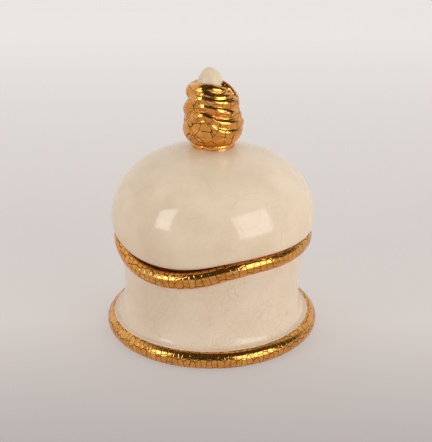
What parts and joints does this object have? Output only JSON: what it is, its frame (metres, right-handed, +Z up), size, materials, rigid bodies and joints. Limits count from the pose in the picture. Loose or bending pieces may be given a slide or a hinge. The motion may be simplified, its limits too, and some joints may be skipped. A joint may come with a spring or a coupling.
{
  "type": "lidded ceramic box",
  "caption": "Waisted ceramic box in pyxis form with a domed lift-off lid, a wavy gold rim, a gold foot ring and a wound gold knob, for keeping small things.",
  "frame": {"origin": "middle of the foot ring's bearing face, on the surface the box stands on", "axes": "+Z up along the axis of the box, -Y to the front, +X to the right of the front"},
  "size_m": [0.112, 0.112, 0.1377],
  "materials": {
    "body_glaze": "glossy cream glaze with a fine crackle",
    "lid_glaze": "glossy cream glaze with a wide, faint crackle",
    "gold_lustre": "mirror gold lustre over glaze, broken by dark crackle lines",
    "tip_glaze": "smooth cream glaze, slightly greyer than the lid"
  },
  "bodies": {
    "base": {"base_cup": "body_glaze", "foot_roll": "gold_lustre", "rim_roll": "gold_lustre"},
    "lid": {"lid_dome": "lid_glaze", "lid_flange": "lid_glaze", "finial_stem": "gold_lustre", "finial_wrap": "gold_lustre", "finial_tip": "tip_glaze"}
  },
  "joints": [
    {"name": "lid_lift", "type": "slide", "parent": "base", "child": "lid", "axis": [0, 0, 1], "range_m": [0, 0.06]}
  ]
}
